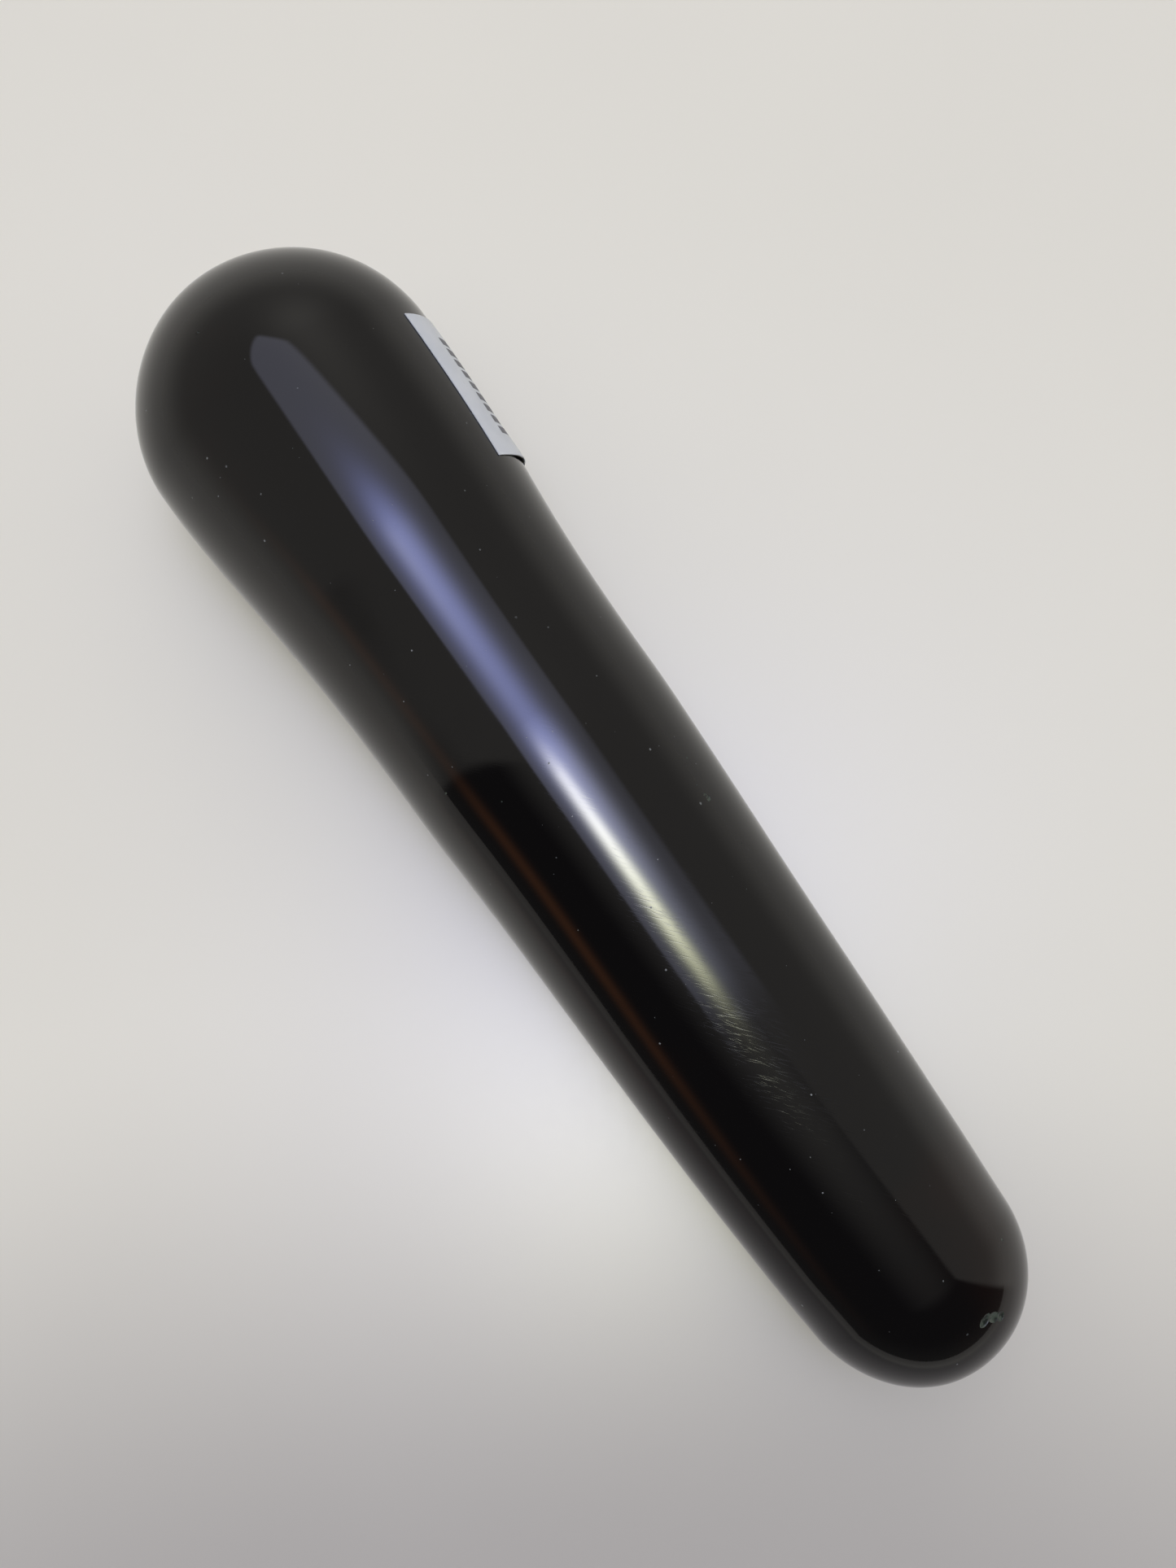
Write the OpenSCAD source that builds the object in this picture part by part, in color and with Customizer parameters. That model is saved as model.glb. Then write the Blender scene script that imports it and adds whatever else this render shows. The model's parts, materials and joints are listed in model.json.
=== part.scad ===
// Polished stone hand wand: one solid, slightly oval rod of black volcanic glass, thick at one end,
// waisted behind the thick end and tapered to a narrow rounded end. A small printed paper label is
// stuck to its flank. It lies on its flatter side along X, with the thick end towards -X.

/* [Stone] */
// Overall length along the stone's own axis
length = 138; // [110:1:170]
// Width across the round thick end
thick_d = 33.6; // [28:0.2:41]
// Width across the round narrow end
narrow_d = 24; // [18:0.2:28]
// How much slimmer the waist is than the thick end
waist_cut = 4.1; // [2:0.1:5]
// Distance of the waist from the thick tip
waist_at = 60; // [48:1:75]
// Radius of the long curve that leads from the waist into the taper
waist_curve_r = 150; // [80:10:400]
// Height of the oval section as a share of its width
section_ratio = 0.9; // [0.8:0.01:1]

/* [Label] */
// Length of the label along the stone
label_l = 17.8; // [12:0.1:22]
// Width of the label around the stone
label_w = 10; // [6:0.1:14]
// Distance of the label's nearer edge from the thick tip
label_at = 18; // [10:0.1:30]
// Angle from the top of the stone to the label's upper edge
label_turn = 54.5; // [20:0.5:110]
// Thickness of the adhesive film
adhesive_t = 0.03; // [0.02:0.01:0.1]
// Thickness of the paper
paper_t = 0.1; // [0.06:0.01:0.2]

/* [Print] */
// Thickness of the ink
ink_t = 0.02; // [0.02:0.01:0.05]
// Length of the printed row along the stone
row_l = 12.2; // [8:0.1:16]
// Number of plain bars in the row
bar_count = 9; // [3:1:15]
// Gap between neighbouring bars
bar_gap = 0.5; // [0.2:0.1:0.6]
// Height of the bars around the stone
bar_h = 2.2; // [1:0.1:4]

/* [Hidden] */
$fn = 180;
cap_steps = 30;
curve_steps = 10;

thick_r = thick_d / 2;
narrow_r = narrow_d / 2;
waist_r = thick_r - waist_cut / 2;

// The shoulder is two equal arcs between the two places where the outline runs along the axis
shoulder_l = waist_at - thick_r;
shoulder_r = (pow(shoulder_l, 2) + pow(waist_cut / 2, 2)) / (2 * waist_cut);
shoulder_turn = 90 - asin(shoulder_l / 2 / shoulder_r);
shoulder_centre = [thick_r - shoulder_r, thick_r];

// Beyond the waist the outline bends in towards a narrower end, or out towards a wider one
waist_bend_r = narrow_r < waist_r ? waist_curve_r : -waist_curve_r;
waist_centre = [waist_r - waist_bend_r, waist_at];
narrow_centre = [0, length - narrow_r];

// The taper is the straight line that touches the waist's curve and the narrow end's circle
taper_turn = line_over(waist_centre, waist_bend_r, narrow_centre, narrow_r);

// The stone rests on its shoulder and on its narrow end or, if that stands clear, on the waist's curve
rest_on_waist = line_over(shoulder_centre, shoulder_r, waist_centre, waist_bend_r);
rest_on_end = line_over(shoulder_centre, shoulder_r, narrow_centre, narrow_r);
rest_line = rest_on_waist > taper_turn ? rest_on_waist : rest_on_end;
rest_turn = atan(section_ratio / tan(rest_line));
rest_r = (shoulder_centre * away(rest_line) + shoulder_r) / sin(rest_line);
rest_h = section_ratio * rest_r * cos(rest_turn);
end_reach = norm([cos(rest_turn), section_ratio * sin(rest_turn)]);
low_x = thick_r * (cos(rest_turn) - end_reach);
high_x = narrow_centre[1] * cos(rest_turn) + narrow_r * end_reach;

// Each layer of the label lies on the one below it
paper_base = adhesive_t;
ink_base = adhesive_t + paper_t;
label_sweep = degrees_around(label_w);
bar_sweep = degrees_around(bar_h);
bar_l = (row_l - (bar_count - 1) * bar_gap) / bar_count;
row_at = label_at + (label_l - row_l) / 2;
row_turn = label_turn + (label_sweep - bar_sweep) / 2;

// Turn of the outward direction of the line that touches two circles of the outline from outside
function line_over(centre_a, radius_a, centre_b, radius_b) =
    let (run = centre_b - centre_a)
        atan2(run[0], run[1]) + acos((radius_a - radius_b) / norm(run));

// Width around the thick end as an angle
function degrees_around(width) = width / thick_r * 180 / PI;

// Direction in the lengthwise section at a turn from the axis, which runs to the narrow end
function away(turn) = [sin(turn), cos(turn)];

// Points of an arc from one turn to another. A negative radius makes it hollow.
function arc(centre, radius, from, to, steps) =
    [for (i = [0:steps]) centre + radius * away(from + (to - from) * i / steps)];

// Half of the stone's lengthwise section as distances from the axis and along it, grown by skin
function outline(skin) = concat(
    arc([0, thick_r], thick_r + skin, 180, 90, cap_steps),
    arc(shoulder_centre, shoulder_r + skin, 90, shoulder_turn, curve_steps),
    arc([waist_r + shoulder_r, waist_at], skin - shoulder_r, shoulder_turn, 90, curve_steps),
    arc(waist_centre, waist_bend_r + skin, 90, taper_turn, curve_steps),
    arc(narrow_centre, narrow_r + skin, taper_turn, 0, cap_steps)
);

// Lays what is built around the upright axis into the resting pose along X
module at_rest() {
    translate([-(low_x + high_x) / 2, 0, rest_h])
        rotate([0, 90 + rest_turn, 0])
            scale([section_ratio, 1, 1])
                children();
}

// A layer on the stone from base up to base + thickness: span along the axis from low, sweep around
// it from turn
module patch(base, thickness, low, span, turn, sweep) {
    rotate([0, 0, 180 - turn - sweep])
        rotate_extrude(angle = sweep)
            intersection() {
                difference() {
                    polygon(outline(base + thickness));
                    polygon(outline(base));
                }
                translate([0, low])
                    square([thick_d, span]);
            }
}

module stone_body() {
    color([0.02, 0.018, 0.02])
        at_rest()
            for (half = [0, 180])
                rotate([0, 0, half])
                    rotate_extrude(angle = 180)
                        polygon(outline(0));
}

module label_adhesive() {
    color([0.85, 0.85, 0.8])
        at_rest()
            patch(0, adhesive_t, label_at, label_l, label_turn, label_sweep);
}

module label_paper() {
    color([0.86, 0.89, 0.93])
        at_rest()
            patch(paper_base, paper_t, label_at, label_l, label_turn, label_sweep);
}

module label_print() {
    color([0.25, 0.26, 0.29])
        at_rest()
            for (i = [0:bar_count - 1])
                patch(ink_base, ink_t, row_at + i * (bar_l + bar_gap), bar_l, row_turn, bar_sweep);
}

stone_body();
label_adhesive();
label_paper();
label_print();
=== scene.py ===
"""Looks of a polished stone hand wand with a small paper label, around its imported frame."""

import json
import logging
import math
from dataclasses import dataclass, field
from enum import Enum
from typing import Any

import bpy
from mathutils import Matrix, Vector


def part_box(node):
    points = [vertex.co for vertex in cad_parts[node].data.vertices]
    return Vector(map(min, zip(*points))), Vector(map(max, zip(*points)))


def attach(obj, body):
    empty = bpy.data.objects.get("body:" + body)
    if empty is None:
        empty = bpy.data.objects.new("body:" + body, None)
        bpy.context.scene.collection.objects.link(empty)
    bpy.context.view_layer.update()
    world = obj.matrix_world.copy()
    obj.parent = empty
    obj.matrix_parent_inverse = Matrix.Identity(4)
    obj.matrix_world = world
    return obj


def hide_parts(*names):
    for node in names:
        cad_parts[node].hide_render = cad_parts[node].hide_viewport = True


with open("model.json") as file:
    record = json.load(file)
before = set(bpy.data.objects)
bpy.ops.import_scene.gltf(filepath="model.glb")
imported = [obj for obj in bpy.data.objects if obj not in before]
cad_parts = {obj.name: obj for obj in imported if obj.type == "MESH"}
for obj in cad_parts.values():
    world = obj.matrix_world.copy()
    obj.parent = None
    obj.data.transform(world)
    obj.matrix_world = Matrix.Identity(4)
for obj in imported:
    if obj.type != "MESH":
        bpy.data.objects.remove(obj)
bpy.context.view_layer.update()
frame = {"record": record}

MM = 0.001
BODY = "root"
LOG = logging.getLogger("wand")
POLE_GUARD = 1e-6
STEP_GUARD = 1e-9
PICK_REACH = 0.02 * MM

Number = float | int
Rgb = tuple[float, float, float]
Rgba = tuple[float, float, float, float]
Pair = tuple[float, float]
Place = tuple[float, float, float]


class Slot(Enum):
    """Material slots of the record."""

    STONE = "stone"
    ADHESIVE = "adhesive"
    PAPER = "paper"
    INK = "ink"


# ---------------------------------------------------------------- shader graphs


class Value:
    """A number socket. Arithmetic on it adds the Math nodes that work it out."""

    def __init__(self, graph: "Graph", socket: bpy.types.NodeSocket) -> None:
        """Wraps one output socket of a graph."""
        self.graph = graph
        self.socket = socket

    def __add__(self, other: "Value | Number") -> "Value":
        """Sum."""
        return self.graph.math("ADD", self, other)

    __radd__ = __add__

    def __sub__(self, other: "Value | Number") -> "Value":
        """Difference."""
        return self.graph.math("SUBTRACT", self, other)

    def __rsub__(self, other: "Value | Number") -> "Value":
        """Difference from a number."""
        return self.graph.math("SUBTRACT", other, self)

    def __mul__(self, other: "Value | Number") -> "Value":
        """Product."""
        return self.graph.math("MULTIPLY", self, other)

    __rmul__ = __mul__

    def __truediv__(self, other: "Value | Number") -> "Value":
        """Quotient."""
        return self.graph.math("DIVIDE", self, other)

    def __gt__(self, other: "Value | Number") -> "Value":
        """1 where this is larger, else 0."""
        return self.graph.math("GREATER_THAN", self, other)

    def power(self, exponent: Number) -> "Value":
        """This raised to an exponent."""
        return self.graph.math("POWER", self, exponent)

    def exp(self) -> "Value":
        """e to the power of this."""
        return self.graph.math("EXPONENT", self)

    def rise(self, low: Number, high: Number) -> "Value":
        """Turns smoothly from 0 at low to 1 at high.

        Args:
            low: Where it is 0. It may be the larger one, and then the result falls.
            high: Where it is 1.

        Returns:
            The smoothed step.
        """
        start, end = min(low, high), max(low, high)
        flipped = low > high
        settings = {"interpolation_type": "SMOOTHSTEP"}
        inputs = {"Value": self, "From Min": start, "From Max": end,
                  "To Min": float(flipped), "To Max": float(not flipped)}
        return self.graph.value("ShaderNodeMapRange", settings, inputs, "Result")


class Triple:
    """A colour or vector socket, which can be added to another and scaled."""

    def __init__(self, graph: "Graph", socket: bpy.types.NodeSocket) -> None:
        """Wraps one output socket of a graph."""
        self.graph = graph
        self.socket = socket

    def __add__(self, other: "Triple") -> "Triple":
        """Sum."""
        return self.graph.vector("ADD", self, other)

    def __sub__(self, other: "Triple | Place") -> "Triple":
        """Difference."""
        return self.graph.vector("SUBTRACT", self, other)

    def scaled(self, factor: "Value | Number") -> "Triple":
        """This times one number."""
        inputs = {0: self, "Scale": factor}
        return self.graph.triple("ShaderNodeVectorMath", {"operation": "SCALE"}, inputs, "Vector")

    def parts(self) -> tuple[Value, Value, Value]:
        """Its three numbers."""
        node = self.graph.node("ShaderNodeSeparateXYZ", {}, {"Vector": self})
        return tuple(Value(self.graph, node.outputs[name]) for name in "XYZ")

    def length(self) -> Value:
        """Its length."""
        return self.graph.value("ShaderNodeVectorMath", {"operation": "LENGTH"}, {0: self}, "Value")


class Graph:
    """A node tree that is built by calls. Each call makes one node, sets it and links it."""

    def __init__(self, tree: bpy.types.NodeTree) -> None:
        """Starts on an empty tree.

        Args:
            tree: Tree of a material or a world.
        """
        self.tree = tree
        tree.nodes.clear()

    def node(self, kind: str, settings: dict[str, Any], inputs: dict[str | int, Any]) -> bpy.types.Node:
        """Adds any node.

        Args:
            kind: Type of the node.
            settings: Its own settings, which are set first.
            inputs: Number, colour or wrapped socket for each input, by name or by place.

        Returns:
            The node.
        """
        node = self.tree.nodes.new(kind)
        for name, setting in settings.items():
            setattr(node, name, setting)
        for key, given in inputs.items():
            if isinstance(given, (Value, Triple)):
                self.tree.links.new(given.socket, node.inputs[key])
            elif isinstance(given, bpy.types.NodeSocket):
                self.tree.links.new(given, node.inputs[key])
            else:
                node.inputs[key].default_value = given
        return node

    def value(self, kind: str, settings: dict[str, Any], inputs: dict[str | int, Any],
              output: str) -> Value:
        """Adds a node and wraps one of its number outputs."""
        return Value(self, self.node(kind, settings, inputs).outputs[output])

    def triple(self, kind: str, settings: dict[str, Any], inputs: dict[str | int, Any],
               output: str) -> Triple:
        """Adds a node and wraps one of its colour or vector outputs."""
        return Triple(self, self.node(kind, settings, inputs).outputs[output])

    def math(self, operation: str, *numbers: Value | Number) -> Value:
        """Adds a Math node."""
        inputs = dict(enumerate(numbers))
        return self.value("ShaderNodeMath", {"operation": operation}, inputs, "Value")

    def vector(self, operation: str, *vectors: Triple | Place) -> Triple:
        """Adds a Vector Math node."""
        inputs = dict(enumerate(vectors))
        return self.triple("ShaderNodeVectorMath", {"operation": operation}, inputs, "Vector")

    def tint(self, colour: Rgb, strength: Value) -> Triple:
        """A fixed colour times a varying strength."""
        inputs = {0: colour, "Scale": strength}
        return self.triple("ShaderNodeVectorMath", {"operation": "SCALE"}, inputs, "Vector")

    def mix(self, share: Value, first: Any, second: Any) -> Triple:
        """Mixes two colours.

        Args:
            share: 0 for the first colour, 1 for the second.
            first: Colour or wrapped socket.
            second: Colour or wrapped socket.

        Returns:
            The mixed colour.
        """
        node = self.node("ShaderNodeMix", {"data_type": "RGBA"}, {0: share, 6: first, 7: second})
        return Triple(self, node.outputs[2])

    def place(self, turn: Vector | None = None, stretch: Vector | None = None) -> Triple:
        """Object coordinates, turned and stretched by a Mapping node when asked.

        Args:
            turn: Rotation in radians about each axis.
            stretch: Scale along each axis.

        Returns:
            The coordinates.
        """
        place = self.triple("ShaderNodeTexCoord", {}, {}, "Object")
        if turn is None and stretch is None:
            return place
        inputs = {"Vector": place, "Rotation": turn or Vector(), "Scale": stretch or Vector((1, 1, 1))}
        return self.triple("ShaderNodeMapping", {"vector_type": "TEXTURE"}, inputs, "Vector")

    def noise(self, place: Triple, scale: Number, detail: Number = 2.0, rough: Number = 0.5) -> Value:
        """Soft noise from 0 to 1 at so many waves a metre."""
        inputs = {"Vector": place, "Scale": scale, "Detail": detail, "Roughness": rough}
        return self.value("ShaderNodeTexNoise", {}, inputs, "Fac")

    def bump(self, height: Value, depth: float, strength: float = 1.0) -> Triple:
        """A surface direction from a height of 0 to 1 that stands for a depth in metres."""
        inputs = {"Height": height, "Distance": depth, "Strength": strength}
        return self.triple("ShaderNodeBump", {}, inputs, "Normal")


def new_material(name: str, shader: dict[str, Any]) -> tuple[bpy.types.Material, Graph, bpy.types.Node]:
    """Makes a material with one Principled node.

    Args:
        name: Name of the material.
        shader: Constants of the Principled node by socket.

    Returns:
        The material, its graph and its Principled node.
    """
    material = bpy.data.materials.new(name)
    material.use_nodes = True
    graph = Graph(material.node_tree)
    principled = graph.node("ShaderNodeBsdfPrincipled", {}, shader)
    graph.node("ShaderNodeOutputMaterial", {}, {"Surface": principled.outputs["BSDF"]})
    return material, graph, principled


def feed(graph: Graph, node: bpy.types.Node, links: dict[str, Value | Triple]) -> None:
    """Links wrapped sockets to a node's inputs.

    Args:
        graph: Graph that the node is in.
        node: Node to link to.
        links: Wrapped sockets by the name of the input.
    """
    for name, given in links.items():
        graph.tree.links.new(given.socket, node.inputs[name])


# ---------------------------------------------------------------- finishes


@dataclass(frozen=True)
class PolishedStone:
    """Black volcanic glass, polished, with dust-sized specks and fine oblique scratches.

    Here and in the other finishes, waves are counted per metre, and a ramp is the pair of noise levels
    between which a pattern sets in.
    """

    deep: Rgba = (0.0022, 0.0018, 0.0022, 1.0)
    warm: Rgba = (0.0075, 0.0026, 0.0018, 1.0)
    cloud_waves: float = 34.0
    cloud_ramp: Pair = (0.56, 0.78)
    gloss: float = 0.045
    haze: float = 0.05
    smear_waves: float = 60.0
    smear_ramp: Pair = (0.45, 0.8)
    peel_waves: float = 240.0
    peel_depth: float = 0.002 * MM
    speck: Rgba = (0.22, 0.23, 0.22, 1.0)
    speck_cells: float = 900.0
    speck_share: float = 0.62
    speck_small: float = 0.022
    speck_spread: float = 0.1
    speck_ragged_waves: float = 5200.0
    speck_edge: Pair = (1.2, 0.7)
    speck_vary: float = 0.8
    speck_rough: float = 0.5
    worn: float = 0.15
    scratch_depth: float = 0.003 * MM
    stroke_turn: float = 0.57
    stroke_fan: float = 0.16
    stroke_stretch: float = 0.05
    fine_waves: float = 11500.0
    coarse_waves: float = 7800.0
    stroke_ramp: Pair = (0.6, 0.72)
    stroke_stray: float = 0.03
    patch_narrow: float = 0.4
    patch_waves: float = 170.0
    patch_ramp: Pair = (0.3, 0.62)
    patch_strokes: float = 0.45
    patch_haze: float = 0.26
    ior: float = 1.49

    def material(self, dull_place: Vector, dull_reach: float) -> bpy.types.Material:
        """Builds the finish.

        Args:
            dull_place: Middle of the patch where the scratches crowd.
            dull_reach: How far that patch reaches along the stone.

        Returns:
            The material.
        """
        material, graph, shader = new_material("polished_stone", {"IOR": self.ior, "Metallic": 0.0})
        place = graph.place()
        clouds = graph.noise(place, self.cloud_waves, detail=3.0).rise(*self.cloud_ramp)
        specks = self.specks(graph, place)
        scratches = self.scratches(graph, dull_place, dull_reach)
        smears = graph.noise(place, self.smear_waves, detail=4.0, rough=0.6).rise(*self.smear_ramp)
        colour = graph.mix(specks, graph.mix(clouds, self.deep, self.warm), self.speck)
        rough = smears * self.haze + scratches * self.worn + self.gloss + specks * self.speck_rough
        peel = graph.noise(place, self.peel_waves, detail=1.0)
        relief = peel * (self.peel_depth / self.scratch_depth) - scratches + specks
        feed(graph, shader, {"Base Color": colour, "Roughness": rough,
                             "Normal": graph.bump(relief, self.scratch_depth)})
        return material

    def specks(self, graph: Graph, place: Triple) -> Value:
        """Sparse round specks of uneven size and brightness.

        Args:
            graph: Graph of the finish.
            place: Coordinates that they lie in.

        Returns:
            Up to 1 on a speck.
        """
        settings = {"feature": "F1"}
        node = graph.node("ShaderNodeTexVoronoi", settings, {"Vector": place, "Scale": self.speck_cells})
        distance = Value(graph, node.outputs["Distance"])
        luck, size, pale = Triple(graph, node.outputs["Color"]).parts()
        ragged = graph.noise(place, self.speck_ragged_waves, detail=1.0)
        reach = (size.power(4) * self.speck_spread + self.speck_small) * (ragged + 0.5)
        brightness = pale * self.speck_vary + (1 - self.speck_vary)
        return (distance / reach).rise(*self.speck_edge) * (luck > self.speck_share) * brightness

    def scratches(self, graph: Graph, middle: Vector, reach: float) -> Value:
        """Fine strokes that run aslant across the stone and crowd in one patch.

        Args:
            graph: Graph of the finish.
            middle: Middle of the patch.
            reach: How far the patch reaches along the stone.

        Returns:
            1 on a stroke.
        """
        strokes = self.strokes(graph, self.stroke_turn, self.fine_waves)
        strokes = strokes + self.strokes(graph, self.stroke_turn + self.stroke_fan, self.coarse_waves)
        run, side, _ = (graph.place() - tuple(middle)).parts()
        distance = (run / reach).power(2) + (side / (self.patch_narrow * reach)).power(2)
        patch = (distance * -1.0).exp()
        ragged = graph.noise(graph.place(), self.patch_waves, detail=3.0).rise(*self.patch_ramp)
        crowd = patch * ragged * self.patch_strokes + self.stroke_stray
        return strokes * crowd + patch * self.patch_haze

    def strokes(self, graph: Graph, turn: float, waves: float) -> Value:
        """Short parallel strokes at one angle.

        Args:
            graph: Graph of the finish.
            turn: Their angle, in radians.
            waves: How fine they are.

        Returns:
            1 on a stroke.
        """
        turned = graph.place(turn=Vector((0, 0, turn)))
        stretched = graph.vector("MULTIPLY", turned, (self.stroke_stretch, 1.0, self.stroke_stretch))
        return graph.noise(stretched, waves, detail=1.0).rise(*self.stroke_ramp)


@dataclass(frozen=True)
class ChippedStone:
    """Fresh, unpolished fracture of the same glass, greyish green and ribbed."""

    dark: Rgba = (0.012, 0.016, 0.012, 1.0)
    light: Rgba = (0.062, 0.078, 0.056, 1.0)
    flake_waves: float = 1900.0
    flake_ramp: Pair = (0.42, 0.62)
    rib_waves: float = 900.0
    rib_depth: float = 0.12 * MM
    rough: float = 0.38
    ior: float = 1.49

    def material(self) -> bpy.types.Material:
        """Builds the finish.

        Returns:
            The material.
        """
        material, graph, shader = new_material("chipped_stone", {"IOR": self.ior, "Roughness": self.rough})
        place = graph.place()
        flakes = graph.noise(place, self.flake_waves, detail=3.0).rise(*self.flake_ramp)
        ribs = graph.noise(place, self.rib_waves)
        feed(graph, shader, {"Base Color": graph.mix(flakes, self.dark, self.light),
                             "Normal": graph.bump(ribs, self.rib_depth)})
        return material


@dataclass(frozen=True)
class LabelPaper:
    """Semi-gloss label paper, cool white, with faint fibres and a few dirty marks."""

    white: Rgba = (0.70, 0.725, 0.735, 1.0)
    shade: Rgba = (0.56, 0.60, 0.63, 1.0)
    grime: Rgba = (0.30, 0.30, 0.29, 1.0)
    fibre_waves: float = 2600.0
    fibre_depth: float = 0.006 * MM
    fibre_rough: float = 0.18
    cloud_waves: float = 260.0
    cloud_ramp: Pair = (0.3, 0.8)
    cloud_share: float = 0.4
    mark_waves: float = 900.0
    mark_ramp: Pair = (0.68, 0.76)
    mark_share: float = 0.5
    gloss: float = 0.3
    ior: float = 1.45

    def material(self) -> bpy.types.Material:
        """Builds the finish.

        Returns:
            The material.
        """
        material, graph, shader = new_material("label_paper", {"IOR": self.ior})
        place = graph.place()
        fibres = graph.noise(place, self.fibre_waves, detail=3.0, rough=0.6)
        clouds = graph.noise(place, self.cloud_waves).rise(*self.cloud_ramp)
        marks = graph.noise(place, self.mark_waves, detail=4.0, rough=0.7).rise(*self.mark_ramp)
        clean = graph.mix(clouds * self.cloud_share, self.white, self.shade)
        feed(graph, shader, {"Base Color": graph.mix(marks * self.mark_share, clean, self.grime),
                             "Roughness": fibres * self.fibre_rough + self.gloss,
                             "Normal": graph.bump(fibres, self.fibre_depth)})
        return material


@dataclass(frozen=True)
class AdhesiveFilm:
    """Aged clear adhesive that has picked up dust along its edge."""

    clear: Rgba = (0.42, 0.40, 0.34, 1.0)
    dusty: Rgba = (0.10, 0.095, 0.085, 1.0)
    dust_waves: float = 1400.0
    dust_ramp: Pair = (0.4, 0.65)
    dust_rough: float = 0.4
    gloss: float = 0.3
    ior: float = 1.47

    def material(self) -> bpy.types.Material:
        """Builds the finish.

        Returns:
            The material.
        """
        material, graph, shader = new_material("adhesive_film", {"IOR": self.ior})
        dust = graph.noise(graph.place(), self.dust_waves, detail=3.0).rise(*self.dust_ramp)
        feed(graph, shader, {"Base Color": graph.mix(dust, self.clear, self.dusty),
                             "Roughness": dust * self.dust_rough + self.gloss})
        return material


@dataclass(frozen=True)
class PrinterInk:
    """Dark grey toner, slightly uneven and a little duller where it lies thin."""

    dark: Rgba = (0.07, 0.073, 0.085, 1.0)
    thin: Rgba = (0.15, 0.155, 0.17, 1.0)
    cover_waves: float = 3200.0
    cover_ramp: Pair = (0.35, 0.7)
    cover_rough: float = 0.2
    gloss: float = 0.38
    ior: float = 1.5

    def material(self) -> bpy.types.Material:
        """Builds the finish.

        Returns:
            The material.
        """
        material, graph, shader = new_material("printer_ink", {"IOR": self.ior})
        cover = graph.noise(graph.place(), self.cover_waves, detail=3.0).rise(*self.cover_ramp)
        feed(graph, shader, {"Base Color": graph.mix(cover, self.dark, self.thin),
                             "Roughness": cover * self.cover_rough + self.gloss})
        return material


# ---------------------------------------------------------------- modelling helpers


def start_fresh() -> None:
    """Leaves edit mode and deselects every object."""
    if bpy.context.object is not None and bpy.context.object.mode != "OBJECT":
        bpy.ops.object.mode_set(mode="OBJECT")
    bpy.ops.object.select_all(action="DESELECT")


def make_active(piece: bpy.types.Object) -> None:
    """Selects one object alone and makes it active.

    Args:
        piece: Object to select.
    """
    start_fresh()
    piece.select_set(True)
    bpy.context.view_layer.objects.active = piece


def named(name: str) -> bpy.types.Object:
    """Names the active object and its mesh.

    Args:
        name: Name for both.

    Returns:
        The active object.
    """
    piece = bpy.context.object
    piece.name = name
    piece.data.name = name
    return piece


def apply_modifier(piece: bpy.types.Object, kind: str, settings: dict[str, Any]) -> None:
    """Adds a modifier to an object and applies it.

    Args:
        piece: Object to change.
        kind: Type of the modifier.
        settings: Its settings.
    """
    make_active(piece)
    modifier = piece.modifiers.new(kind.lower(), kind)
    for name, setting in settings.items():
        setattr(modifier, name, setting)
    bpy.ops.object.modifier_apply(modifier=modifier.name)


def apply_place(piece: bpy.types.Object, matrix: Matrix) -> None:
    """Moves an object by a matrix and applies that to its mesh.

    Args:
        piece: Object to move.
        matrix: The move.
    """
    make_active(piece)
    piece.matrix_world = matrix @ piece.matrix_world
    bpy.ops.object.transform_apply(location=True, rotation=True, scale=True)


def set_out(ways: tuple[Vector, Vector, Vector], origin: Vector) -> Matrix:
    """Matrix that lays X, Y and Z along three ways and the origin at a place.

    Args:
        ways: Where X, Y and Z go.
        origin: Where the origin goes.

    Returns:
        The matrix.
    """
    matrix = Matrix([[way[row] for way in ways] for row in range(3)]).to_4x4()
    matrix.translation = origin
    return matrix


def join(pieces: list[bpy.types.Object], name: str) -> bpy.types.Object:
    """Joins pieces into one object.

    Args:
        pieces: Objects to join.
        name: Name of the joined object.

    Returns:
        The joined object.
    """
    make_active(pieces[0])
    for piece in pieces:
        piece.select_set(True)
    bpy.ops.object.join()
    return named(name)


def select_near(piece: bpy.types.Object, place: Vector, reach: float) -> None:
    """Selects an object's vertices within reach of a place and enters edit mode.

    Args:
        piece: Object to select on.
        place: Middle of the selection.
        reach: How far it reaches.
    """
    make_active(piece)
    bpy.ops.object.mode_set(mode="EDIT")
    bpy.ops.mesh.select_mode(type="VERT")
    bpy.ops.mesh.select_all(action="DESELECT")
    bpy.ops.object.mode_set(mode="OBJECT")
    for vertex in piece.data.vertices:
        vertex.select = (vertex.co - place).length < reach
    bpy.ops.object.mode_set(mode="EDIT")


def pull(piece: bpy.types.Object, place: Vector, move: Vector, reach: float) -> None:
    """Pulls the surface around a place with a smooth falloff.

    Args:
        piece: Object to change.
        place: Middle of the pull, on the surface.
        move: How far the middle moves.
        reach: Distance at which nothing moves any more.
    """
    nearest = min((vertex.co - place).length for vertex in piece.data.vertices)
    select_near(piece, place, nearest + PICK_REACH)
    bpy.ops.transform.translate(value=move, use_proportional_edit=True,
                                proportional_edit_falloff="SMOOTH", proportional_size=reach)
    bpy.ops.object.mode_set(mode="OBJECT")


def dress(piece: bpy.types.Object, materials: list[bpy.types.Material]) -> None:
    """Gives an object its materials, in the order of its faces' slots."""
    for material in materials:
        piece.data.materials.append(material)


def hand_over(piece: bpy.types.Object, node: str) -> None:
    """Puts a finished piece in the place of its CAD node and reports it.

    Args:
        piece: The finished piece.
        node: CAD node that it stands for.
    """
    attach(piece, BODY)
    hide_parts(node)
    LOG.info("%s: %d faces", piece.name, len(piece.data.polygons))


# ---------------------------------------------------------------- the stone


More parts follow.
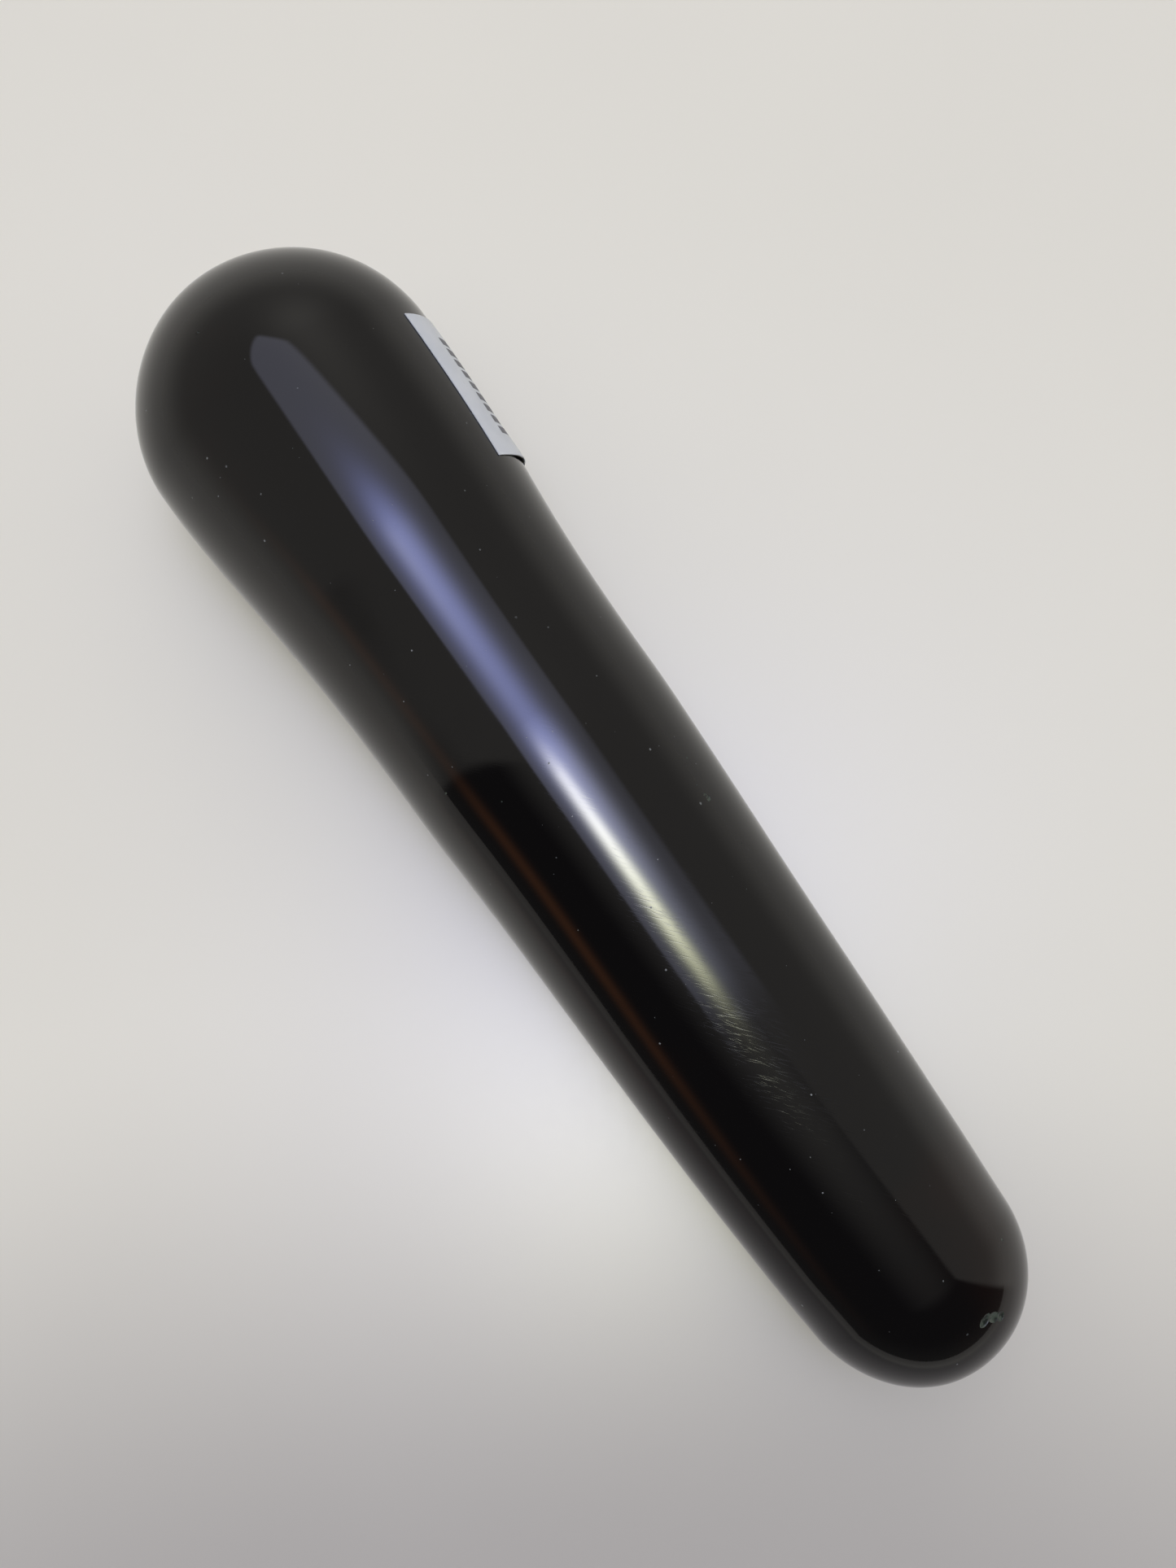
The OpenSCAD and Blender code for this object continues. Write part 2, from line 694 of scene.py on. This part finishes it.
@dataclass(frozen=True)
class Arc:
    """An arc of the outline. Turns are in degrees from the axis, which runs to the narrow end."""

    centre: Vector
    radius: float
    start: float
    end: float
    steps: int

    def points(self) -> list[Vector]:
        """Its points.

        Returns:
            Distances from the axis and along it.
        """
        sweep = (self.end - self.start) / self.steps
        turns = [math.radians(self.start + sweep * i) for i in range(self.steps + 1)]
        return [self.centre + self.radius * Vector((math.sin(turn), math.cos(turn))) for turn in turns]


def line_over(centre_a: Vector, radius_a: float, centre_b: Vector, radius_b: float) -> float:
    """Outward direction of the line that touches two circles from outside.

    Args:
        centre_a: Centre of the first circle.
        radius_a: Its radius.
        centre_b: Centre of the second circle.
        radius_b: Its radius.

    Returns:
        The turn of that direction from the axis, in degrees.
    """
    run = centre_b - centre_a
    return math.degrees(math.atan2(run.x, run.y) + math.acos((radius_a - radius_b) / run.length))


@dataclass(frozen=True)
class Outline:
    """Lengthwise outline of the stone: round ends, a shoulder, a waist and a straight taper."""

    length: float
    thick_d: float
    narrow_d: float
    waist_cut: float
    waist_at: float
    waist_curve_r: float
    cap_steps: int = 56
    curve_steps: int = 22
    taper_steps: int = 50

    def points(self) -> list[Vector]:
        """The outline from the thick tip to the narrow tip.

        Returns:
            Distances from the axis and along it.
        """
        thick_r, narrow_r = self.thick_d / 2, self.narrow_d / 2
        waist_r = thick_r - self.waist_cut / 2
        shoulder_l = self.waist_at - thick_r
        shoulder_r = (shoulder_l ** 2 + (self.waist_cut / 2) ** 2) / (2 * self.waist_cut)
        shoulder_turn = 90 - math.degrees(math.asin(shoulder_l / 2 / shoulder_r))
        shoulder_centre = Vector((thick_r - shoulder_r, thick_r))
        hollow_centre = Vector((waist_r + shoulder_r, self.waist_at))
        waist_centre = Vector((waist_r - self.waist_curve_r, self.waist_at))
        narrow_centre = Vector((0, self.length - narrow_r))
        taper_turn = line_over(waist_centre, self.waist_curve_r, narrow_centre, narrow_r)
        arcs = [
            Arc(Vector((0, thick_r)), thick_r, 180, 90, self.cap_steps),
            Arc(shoulder_centre, shoulder_r, 90, shoulder_turn, self.curve_steps),
            Arc(hollow_centre, -shoulder_r, shoulder_turn, 90, self.curve_steps),
            Arc(waist_centre, self.waist_curve_r, 90, taper_turn, self.curve_steps),
            Arc(narrow_centre, narrow_r, taper_turn, 0, self.cap_steps),
        ]
        cap, shoulder, hollow, waist, nose = [arc.points() for arc in arcs]
        low, high = waist[-1], nose[0]
        taper = [low.lerp(high, i / self.taper_steps) for i in range(1, self.taper_steps)]
        joined = cap + shoulder[1:] + hollow[1:] + waist[1:] + taper + nose
        return [Vector((max(point.x, 0.0), point.y)) for point in joined]

    def radius_at(self, along: float) -> float:
        """Half the width somewhere along the stone.

        Args:
            along: Distance from the thick tip.

        Returns:
            Distance of the outline from the axis.
        """
        points = self.points()
        for low, high in zip(points, points[1:]):
            if low.y <= along <= high.y:
                return low.x + (high.x - low.x) * (along - low.y) / max(high.y - low.y, STEP_GUARD)
        return 0.0


@dataclass(frozen=True)
class Dent:
    """A place on the stone that differs from the plain outline.

    Fields are the distance from the thick tip, the turn from the top towards the labelled flank in
    degrees, how far the place moves out, and how far around it the change reaches.
    """

    along: float
    turn: float
    out: float
    reach: float


@dataclass
class Stone:
    """The polished stone: one solid, a little uneven from grinding by hand, with a few knocks."""

    narrow_d: float = 24.0 * MM
    waist_cut: float = 4.1 * MM
    waist_at: float = 60.0 * MM
    waist_curve_r: float = 150.0 * MM
    section_ratio: float = 0.9
    sides: int = 224
    merge_reach: float = 0.004 * MM
    slope_step: float = 0.05 * MM
    smooth_angle: float = 30.0
    dull_along: float = 95.0 * MM
    dull_reach: float = 24.0 * MM
    wave_size: float = 22.0 * MM
    wave_height: float = 0.16 * MM
    finish: PolishedStone = field(default_factory=PolishedStone)
    scar: ChippedStone = field(default_factory=ChippedStone)
    swells: tuple[Dent, ...] = (
        Dent(18 * MM, -88, 0.62 * MM, 20 * MM),
        Dent(130 * MM, -70, -0.35 * MM, 11 * MM),
        Dent(71 * MM, -84, -0.2 * MM, 22 * MM),
        Dent(104 * MM, -85, 0.2 * MM, 20 * MM),
        Dent(6 * MM, 20, -0.22 * MM, 14 * MM),
        Dent(128 * MM, 62, -0.22 * MM, 12 * MM),
    )
    bite_wide: float = 1.02
    bite_narrow: float = 0.62
    bite_spread: float = 0.3
    bite_vary: float = 2.4
    bite_turn: float = 1.9
    chips: tuple[Dent, ...] = (
        Dent(131.8 * MM, 12, 0.17 * MM, 0.8 * MM),
        Dent(132.2 * MM, 17.5, 0.2 * MM, 0.75 * MM),
        Dent(132.7 * MM, 22, 0.13 * MM, 0.55 * MM),
    )
    pits: tuple[Dent, ...] = (
        Dent(76.4 * MM, 44.5, 0.09 * MM, 0.34 * MM),
        Dent(75.9 * MM, 44.0, 0.05 * MM, 0.2 * MM),
        Dent(74.7 * MM, 43.1, 0.04 * MM, 0.11 * MM),
        Dent(71.9 * MM, 47.5, 0.04 * MM, 0.11 * MM),
        Dent(81.9 * MM, 46.1, 0.03 * MM, 0.1 * MM),
        Dent(85.7 * MM, 33.4, 0.03 * MM, 0.09 * MM),
        Dent(61.1 * MM, -47.8, 0.06 * MM, 0.17 * MM),
        Dent(65.2 * MM, -28.3, 0.03 * MM, 0.09 * MM),
        Dent(10.2 * MM, -18.0, 0.06 * MM, 0.17 * MM),
        Dent(127.4 * MM, 44.4, 0.05 * MM, 0.2 * MM),
        Dent(48.0 * MM, 140.0, 0.08 * MM, 0.28 * MM),
        Dent(96.0 * MM, -128.0, 0.07 * MM, 0.22 * MM),
        Dent(24.0 * MM, -105.0, 0.06 * MM, 0.2 * MM),
    )

    def __post_init__(self) -> None:
        """Reads the stone's lie, width and length from the frame."""
        cradle = next(mount for mount in frame["record"]["mounts"] if mount["name"] == "waist_cradle")
        low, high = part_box("stone_body")
        self.axis = Vector(cradle["axis"]).normalized()
        self.flank = Vector((0, 1, 0))
        self.top = self.axis.cross(self.flank).normalized()
        self.tip = Vector(cradle["pos_m"]) - self.waist_at * self.axis
        thick_d = 2 * min(high.y, -low.y)
        reach = math.hypot(self.axis.x, self.section_ratio * self.axis.z)
        ends = (self.narrow_d + thick_d) / 2 * reach - thick_d / 2 * self.axis.x
        length = (high.x - low.x - ends) / self.axis.x + self.narrow_d / 2
        self.outline = Outline(length, thick_d, self.narrow_d, self.waist_cut, self.waist_at,
                               self.waist_curve_r)

    def place(self, along: float, turn: float, out: float = 0.0) -> Vector:
        """A place on the plain stone.

        Args:
            along: Distance from the thick tip.
            turn: Turn from the top towards the labelled flank, in degrees.
            out: Distance outwards from the surface.

        Returns:
            The place in the frame.
        """
        radius = self.outline.radius_at(along)
        angle = math.radians(turn)
        upward = self.top * (self.section_ratio * radius * math.cos(angle))
        section = upward + self.flank * (radius * math.sin(angle))
        return self.tip + self.axis * along + section + self.outward(along, turn) * out

    def outward(self, along: float, turn: float) -> Vector:
        """Direction that points straight out of the plain stone.

        Args:
            along: Distance from the thick tip.
            turn: Turn from the top towards the labelled flank, in degrees.

        Returns:
            The direction, of length 1.
        """
        step = self.slope_step
        slope = (self.outline.radius_at(along + step) - self.outline.radius_at(along - step)) / (2 * step)
        angle = math.radians(turn)
        across = self.top * (math.cos(angle) / self.section_ratio) + self.flank * math.sin(angle)
        return (across - self.axis * slope).normalized()

    def build(self) -> bpy.types.Object:
        """Models the stone: outline, spin, lie, uneven grinding and knocks.

        Returns:
            The finished piece.
        """
        polished = self.finish.material(self.place(self.dull_along, 0), self.dull_reach)
        chipped = self.scar.material()
        piece = self.turn_blank()
        self.lay_down(piece)
        self.grind(piece)
        dress(piece, [polished, chipped])
        self.knock(piece, chipped)
        make_active(piece)
        bpy.ops.object.shade_smooth_by_angle(angle=math.radians(self.smooth_angle))
        return piece

    def turn_blank(self) -> bpy.types.Object:
        """Turns the blank: the outline is drawn by extruding one vertex, then spun about the axis.

        Returns:
            The blank, round and upright.
        """
        points = self.outline.points()
        start_fresh()
        bpy.ops.mesh.primitive_plane_add(size=1 * MM, location=(0, 0, 0))
        piece = named("stone")
        bpy.ops.object.mode_set(mode="EDIT")
        bpy.ops.mesh.select_all(action="SELECT")
        bpy.ops.mesh.merge(type="CENTER")
        for low, high in zip(points, points[1:]):
            step = (high.x - low.x, 0, high.y - low.y)
            bpy.ops.mesh.extrude_vertices_move(TRANSFORM_OT_translate={"value": step})
        bpy.ops.mesh.select_all(action="SELECT")
        bpy.ops.mesh.spin(steps=self.sides, angle=2 * math.pi, center=(0, 0, 0), axis=(0, 0, 1))
        bpy.ops.mesh.select_all(action="SELECT")
        bpy.ops.mesh.remove_doubles(threshold=self.merge_reach)
        bpy.ops.mesh.normals_make_consistent(inside=False)
        bpy.ops.object.mode_set(mode="OBJECT")
        return piece

    def lay_down(self, piece: bpy.types.Object) -> None:
        """Flattens the round blank to its oval section and lays it along its axis in the frame.

        Args:
            piece: The blank.
        """
        ways = (self.top * self.section_ratio, self.flank, self.axis)
        piece.data.transform(set_out(ways, self.tip))
        make_active(piece)
        bpy.ops.object.mode_set(mode="EDIT")
        bpy.ops.mesh.select_all(action="SELECT")
        bpy.ops.mesh.normals_make_consistent(inside=False)
        bpy.ops.object.mode_set(mode="OBJECT")

    def grind(self, piece: bpy.types.Object) -> None:
        """Makes the surface as uneven as grinding by hand leaves it and sets it back on the table.

        Args:
            piece: The blank in its place.
        """
        for swell in self.swells:
            move = self.outward(swell.along, swell.turn) * swell.out
            pull(piece, self.place(swell.along, swell.turn), move, swell.reach)
        waves = bpy.data.textures.new("grinding_waves", "CLOUDS")
        waves.noise_scale = self.wave_size
        waves.noise_depth = 0
        apply_modifier(piece, "DISPLACE", {"texture": waves, "texture_coords": "LOCAL",
                                           "mid_level": 0.5, "strength": self.wave_height})
        lowest = min(vertex.co.z for vertex in piece.data.vertices)
        apply_place(piece, Matrix.Translation((0, 0, -lowest)))

    def knock(self, piece: bpy.types.Object, chipped: bpy.types.Material) -> None:
        """Cuts the chips and pits out of the surface.

        Args:
            piece: The ground stone.
            chipped: Material of the cut faces.
        """
        cutters = [self.cutter(piece, dent, i) for i, dent in enumerate(self.chips + self.pits)]
        bite = join(cutters, "bite")
        dress(bite, [chipped])
        apply_modifier(piece, "BOOLEAN", {"operation": "DIFFERENCE", "object": bite, "solver": "EXACT",
                                          "use_self": True, "material_mode": "TRANSFER"})
        bpy.data.objects.remove(bite)

    def cutter(self, piece: bpy.types.Object, dent: Dent, number: int) -> bpy.types.Object:
        """A flat lens that bites out one chip or pit.

        Args:
            piece: The ground stone.
            dent: Where it bites, how deep and how wide.
            number: Its place in the row, which turns it so that no two look the same.

        Returns:
            The cutter.
        """
        _, place, outward, _ = piece.closest_point_on_mesh(self.place(dent.along, dent.turn))
        start_fresh()
        bpy.ops.mesh.primitive_ico_sphere_add(subdivisions=3, radius=1.0)
        cutter = named(f"cutter_{number}")
        narrow = self.bite_narrow + self.bite_spread * math.sin(self.bite_vary * number) ** 2
        size = Vector((dent.reach * self.bite_wide, dent.reach * narrow, dent.out))
        lie = outward.to_track_quat("Z", "Y").to_matrix().to_4x4()
        turned = lie @ Matrix.Rotation(self.bite_turn * number, 4, "Z")
        cutter.data.transform(Matrix.Translation(place) @ turned @ Matrix.Diagonal(size).to_4x4())
        return cutter


# ---------------------------------------------------------------- the label


@dataclass
class Label:
    """The paper label on the stone's flank: adhesive film, paper with one lifted corner, and print."""

    length: float = 17.8 * MM
    width: float = 10.0 * MM
    along: float = 18.0 * MM
    turn: float = 56.2
    skew: float = 1.2
    adhesive_t: float = 0.03 * MM
    paper_t: float = 0.10 * MM
    ink_t: float = 0.02 * MM
    adhesive_inset: float = 0.12 * MM
    row_length: float = 12.2 * MM
    bar_count: int = 9
    bar_gap: float = 0.5 * MM
    bar_height: float = 2.2 * MM
    cell: float = 0.36 * MM
    hover: float = 1.0 * MM
    lift: float = 0.27 * MM
    lift_reach: float = 5.5 * MM
    lift_round: float = 0.72
    paper: LabelPaper = field(default_factory=LabelPaper)
    film: AdhesiveFilm = field(default_factory=AdhesiveFilm)
    ink: PrinterInk = field(default_factory=PrinterInk)

    def build(self, stone: Stone, body: bpy.types.Object) -> dict[str, bpy.types.Object]:
        """Models the label's layers on the finished stone.

        Args:
            stone: The stone's sizes.
            body: The stone's finished piece.

        Returns:
            The pieces by the node that each stands for.
        """
        self.stone = stone
        self.body = body
        film = self.sheet("label_glue", self.length - 2 * self.adhesive_inset,
                          self.width - 2 * self.adhesive_inset, 0.0, 0.0)
        paper = self.sheet("label_sheet", self.length, self.width, 0.0, self.adhesive_t)
        bars = [self.bar(number) for number in range(self.bar_count)]
        for layer in (film, paper, *bars):
            self.lift_corner(layer)
        layers = [(film, self.adhesive_t), (paper, self.paper_t)] + [(bar, self.ink_t) for bar in bars]
        for layer, thickness in layers:
            apply_modifier(layer, "SOLIDIFY", {"thickness": thickness, "offset": 1.0})
        print_row = join(bars, "label_bars")
        dress(film, [self.film.material()])
        dress(paper, [self.paper.material()])
        dress(print_row, [self.ink.material()])
        return {"label_adhesive": film, "label_paper": paper, "label_print": print_row}

    def sheet(self, name: str, length: float, width: float, shift: float,
              skin: float) -> bpy.types.Object:
        """Presses a flat rectangle onto the stone.

        Args:
            name: Name of the piece.
            length: Size along the stone.
            width: Size around the stone.
            shift: Distance of its middle from the label's middle along the stone.
            skin: Height above the stone.

        Returns:
            The pressed sheet, still without thickness.
        """
        radius = self.stone.outline.thick_d / 2
        along = self.along + self.length / 2
        turn = self.turn + math.degrees(self.width / 2 / radius)
        outward = self.stone.outward(along, turn)
        round_way = outward.cross(self.stone.axis).normalized()
        along_way = round_way.cross(outward).normalized()
        skew = math.radians(self.skew)
        along_way, round_way = (along_way * math.cos(skew) + round_way * math.sin(skew),
                                round_way * math.cos(skew) - along_way * math.sin(skew))
        half_width = (radius + self.hover) * math.tan(width / 2 / radius)
        start_fresh()
        long_cells, wide_cells = round(length / self.cell), round(width / self.cell)
        bpy.ops.mesh.primitive_grid_add(x_subdivisions=long_cells, y_subdivisions=wide_cells, size=2.0)
        piece = named(name)
        ways = (along_way * (length / 2), round_way * half_width, outward)
        middle = self.stone.place(along, turn, self.hover) + along_way * shift
        piece.data.transform(set_out(ways, middle))
        apply_modifier(piece, "SHRINKWRAP", {"target": self.body, "wrap_method": "NEAREST_SURFACEPOINT",
                                             "wrap_mode": "ABOVE_SURFACE", "offset": skin})
        return piece

    def bar(self, number: int) -> bpy.types.Object:
        """One plain bar of the printed row.

        Args:
            number: Its place in the row.

        Returns:
            The bar, still without thickness.
        """
        pitch = (self.row_length + self.bar_gap) / self.bar_count
        shift = (number - (self.bar_count - 1) / 2) * pitch
        skin = self.adhesive_t + self.paper_t
        return self.sheet(f"bar_{number}", pitch - self.bar_gap, self.bar_height, shift, skin)

    def lift_corner(self, piece: bpy.types.Object) -> None:
        """Peels the label's far corner off the stone, so that it stands a little proud.

        Args:
            piece: A layer of the label.
        """
        radius = self.stone.outline.thick_d / 2
        turn = self.turn + math.degrees(self.lift_round * self.width / radius)
        corner = self.stone.place(self.along + self.length, turn)
        outward = self.stone.outward(self.along + self.length, turn)
        for vertex in piece.data.vertices:
            offset = vertex.co - corner
            share = max(0.0, 1 - offset.length / self.lift_reach)
            vertex.co += outward * (self.lift * share * share * (3 - 2 * share))


# ---------------------------------------------------------------- the studio


@dataclass(frozen=True)
class Spot:
    """A soft round light on the dome: its colour, its middle, and how far it reaches each way."""

    colour: Rgb
    right: float
    back: float
    wide: float
    deep: float

    def share(self, right: Value, back: Value) -> Value:
        """1 in its middle, fading outwards."""
        across = ((right - self.right) / self.wide).power(2)
        return (across * -1.0 - ((back - self.back) / self.deep).power(2)).exp()


@dataclass(frozen=True)
class Dome:
    """Soft studio light from all round: a pale tent, a cool overhead panel with a bright warm
    middle, and a dark flag on the viewer's side.

    Places on the dome are degrees from straight overhead, towards +X and towards +Y. An edge is a
    pair: where something is still 0, and where it is 1.
    """

    tent: Rgb = (0.415, 0.40, 0.37)
    low_light: Rgb = (0.24, 0.235, 0.22)
    low_edge: Pair = (66.0, 92.0)
    backdrop: Rgba = (0.72, 0.70, 0.66, 1.0)
    flag_left: float = -97.3
    flag_left_edge: Pair = (-0.02, 0.02)
    flag_right: float = 41.0
    flag_right_edge: Pair = (-0.03, 0.05)
    flag_top_edge: Pair = (10.0, 40.0)
    flag_dark: float = 0.86
    panel: Rgb = (0.84, 0.87, 1.18)
    panel_middle: Pair = (14.0, 7.5)
    panel_reach: Pair = (54.0, 25.5)
    panel_rim: Pair = (1.04, 0.9)
    panel_right_edge: Pair = (14.0, 11.0)
    panel_back_edge: Pair = (34.0, 28.0)
    panel_slant: float = 0.875
    panel_slant_edge: Pair = (39.5, 35.0)
    panel_dim: float = 0.55
    panel_dim_edge: Pair = (6.0, 34.0)
    glow: Spot = Spot((3.0, 3.5, 8.4), -1.8, 2.5, 7.5, 11.0)
    lamp: Spot = Spot((17.5, 17.3, 16.5), 4.2, -1.9, 4.9, 4.9)
    halo: Spot = Spot((3.2, 3.3, 3.5), 3.0, 5.0, 6.5, 11.0)
    warm: Spot = Spot((6.0, 6.3, 1.6), 8.2, -1.6, 4.0, 6.0)
    wall: Spot = Spot((0.40, 0.39, 0.36), -35.0, 28.0, 20.0, 18.0)
    bounce: Spot = Spot((0.44, 0.155, 0.05), 5.0, -71.0, 16.0, 5.5)

    def build(self) -> None:
        """Makes the world: the dome lights the scene, and the camera sees a plain backdrop."""
        world = bpy.data.worlds.new("studio")
        world.use_nodes = True
        bpy.context.scene.world = world
        graph = Graph(world.node_tree)
        direction = graph.triple("ShaderNodeTexCoord", {}, {}, "Generated")
        x, y, z = direction.parts()
        level = (x * x + y * y + POLE_GUARD).power(0.5)
        zenith = graph.math("ARCCOSINE", z) * math.degrees(1)
        right, back = x / level * zenith, y / level * zenith
        unflagged = 1.0 - self.flag(x / level, y / level, zenith) * self.flag_dark
        low = unflagged * zenith.rise(*self.low_edge)
        light = graph.tint(self.tent, unflagged) + graph.tint(self.low_light, low)
        cover = self.panel_cover(right, back)
        dimmed = 1.0 - (right + back).rise(*self.panel_dim_edge) * self.panel_dim
        light = light + graph.tint(self.panel, cover * dimmed)
        for spot in (self.glow, self.lamp, self.halo, self.warm):
            light = light + graph.tint(spot.colour, cover * spot.share(right, back))
        for spot in (self.wall, self.bounce):
            light = light + graph.tint(spot.colour, spot.share(right, back))
        dome = graph.node("ShaderNodeBackground", {}, {"Color": light})
        plain = graph.node("ShaderNodeBackground", {}, {"Color": self.backdrop})
        seen = graph.value("ShaderNodeLightPath", {}, {}, "Is Camera Ray")
        inputs = {0: seen, 1: dome.outputs[0], 2: plain.outputs[0]}
        mixed = graph.node("ShaderNodeMixShader", {}, inputs)
        graph.node("ShaderNodeOutputWorld", {}, {"Surface": mixed.outputs[0]})

    def flag(self, x: Value, y: Value, zenith: Value) -> Value:
        """The dark flag, which fills a sector and fades out overhead.

        Args:
            x: Level direction towards +X, from -1 to 1.
            y: Level direction towards +Y, from -1 to 1.
            zenith: Degrees from straight overhead.

        Returns:
            1 behind the flag.
        """
        left, right = math.radians(self.flag_left + 90), math.radians(self.flag_right - 90)
        inside_left = (x * math.cos(left) + y * math.sin(left)).rise(*self.flag_left_edge)
        inside_right = (x * math.cos(right) + y * math.sin(right)).rise(*self.flag_right_edge)
        return inside_left * inside_right * zenith.rise(*self.flag_top_edge)

    def panel_cover(self, right: Value, back: Value) -> Value:
        """The overhead panel, which narrows to a round end on the left.

        Args:
            right: Degrees from overhead towards +X.
            back: Degrees from overhead towards +Y.

        Returns:
            1 on the panel.
        """
        (mid_right, mid_back), (wide, deep) = self.panel_middle, self.panel_reach
        distance = ((right - mid_right) / wide).power(2) + ((back - mid_back) / deep).power(2)
        cover = distance.rise(*self.panel_rim) * right.rise(*self.panel_right_edge)
        cover = cover * back.rise(*self.panel_back_edge)
        return cover * (back - right * self.panel_slant).rise(*self.panel_slant_edge)


@dataclass(frozen=True)
class Table:
    """A plain pale table top with a faint sheen and a patch of shadow painted into its colour."""

    colour: Rgba = (0.94, 0.905, 0.75, 1.0)
    # painted shade: the darker colour of the shadow patch painted into the table top
    shade: Rgba = (0.50, 0.475, 0.42, 1.0)
    size: float = 6.0
    swing: float = 54.62
    # Where the painted shadow patch lies and how far it reaches
    shade_centre: float = -105 * MM
    shade_stretch: float = 2.2
    shade_rim: float = 87 * MM
    shade_core: float = 24 * MM
    cloud_waves: float = 28.0
    cloud_share: float = 0.06
    grain_waves: float = 900.0
    grain_depth: float = 0.004 * MM
    grain_rough: float = 0.06
    gloss: float = 0.17
    ior: float = 1.31

    def build(self) -> bpy.types.Object:
        """Models and dresses the table top.

        Returns:
            The table top.
        """
        start_fresh()
        bpy.ops.mesh.primitive_plane_add(size=self.size)
        piece = named("table_top")
        material, graph, shader = new_material("pale_laminate", {"IOR": self.ior})
        place = graph.place()
        across, away, _ = graph.place(turn=Vector((0, 0, math.radians(self.swing)))).parts()
        # Painted shadow: a round patch of shade painted into the table's colour, darkest at its core. The
        # clouds add a faint random tone.
        distance = (across / self.shade_stretch).power(2) + (away - self.shade_centre).power(2)
        painted_shadow_pool = distance.power(0.5).rise(self.shade_rim, self.shade_core)
        clouds = graph.noise(place, self.cloud_waves, detail=3.0)
        grain = graph.noise(place, self.grain_waves)
        share = painted_shadow_pool * (1 - self.cloud_share) + clouds * self.cloud_share
        feed(graph, shader, {"Base Color": graph.mix(share, self.colour, self.shade),
                             "Roughness": grain * self.grain_rough + self.gloss,
                             "Normal": graph.bump(grain, self.grain_depth)})
        dress(piece, [material])
        return piece


@dataclass(frozen=True)
class Viewpoint:
    """The camera: where it stands, how far it is swung about the vertical and how far it leans."""

    place: Place = (16.41 * MM, -10.76 * MM, 158.73 * MM)
    swing: float = 54.62
    lean: float = 8.5
    sensor: float = 36.0
    lens: float = 32.245
    clip: float = 5 * MM

    def build(self) -> bpy.types.Object:
        """Makes the camera and puts it in charge of the scene.

        Returns:
            The camera.
        """
        data = bpy.data.cameras.new("camera")
        data.sensor_width = self.sensor
        data.lens = self.lens
        data.clip_start = self.clip
        camera = bpy.data.objects.new("camera", data)
        bpy.context.scene.collection.objects.link(camera)
        swing, lean = math.radians(self.swing), math.radians(self.lean)
        turned = Matrix.Rotation(swing, 4, "Z") @ Matrix.Rotation(lean, 4, "X")
        camera.matrix_world = Matrix.Translation(self.place) @ turned
        bpy.context.scene.camera = camera
        return camera


def main() -> None:
    """Builds the studio, the stone and the label."""
    logging.basicConfig(level=logging.INFO, format="%(name)s: %(message)s")
    bpy.context.scene.view_settings.view_transform = "Standard"
    Viewpoint().build()
    Dome().build()
    Table().build()
    stone = Stone()
    body = stone.build()
    hand_over(body, "stone_body")
    for node, piece in Label().build(stone, body).items():
        hand_over(piece, node)


if __name__ == "__main__":
    main()
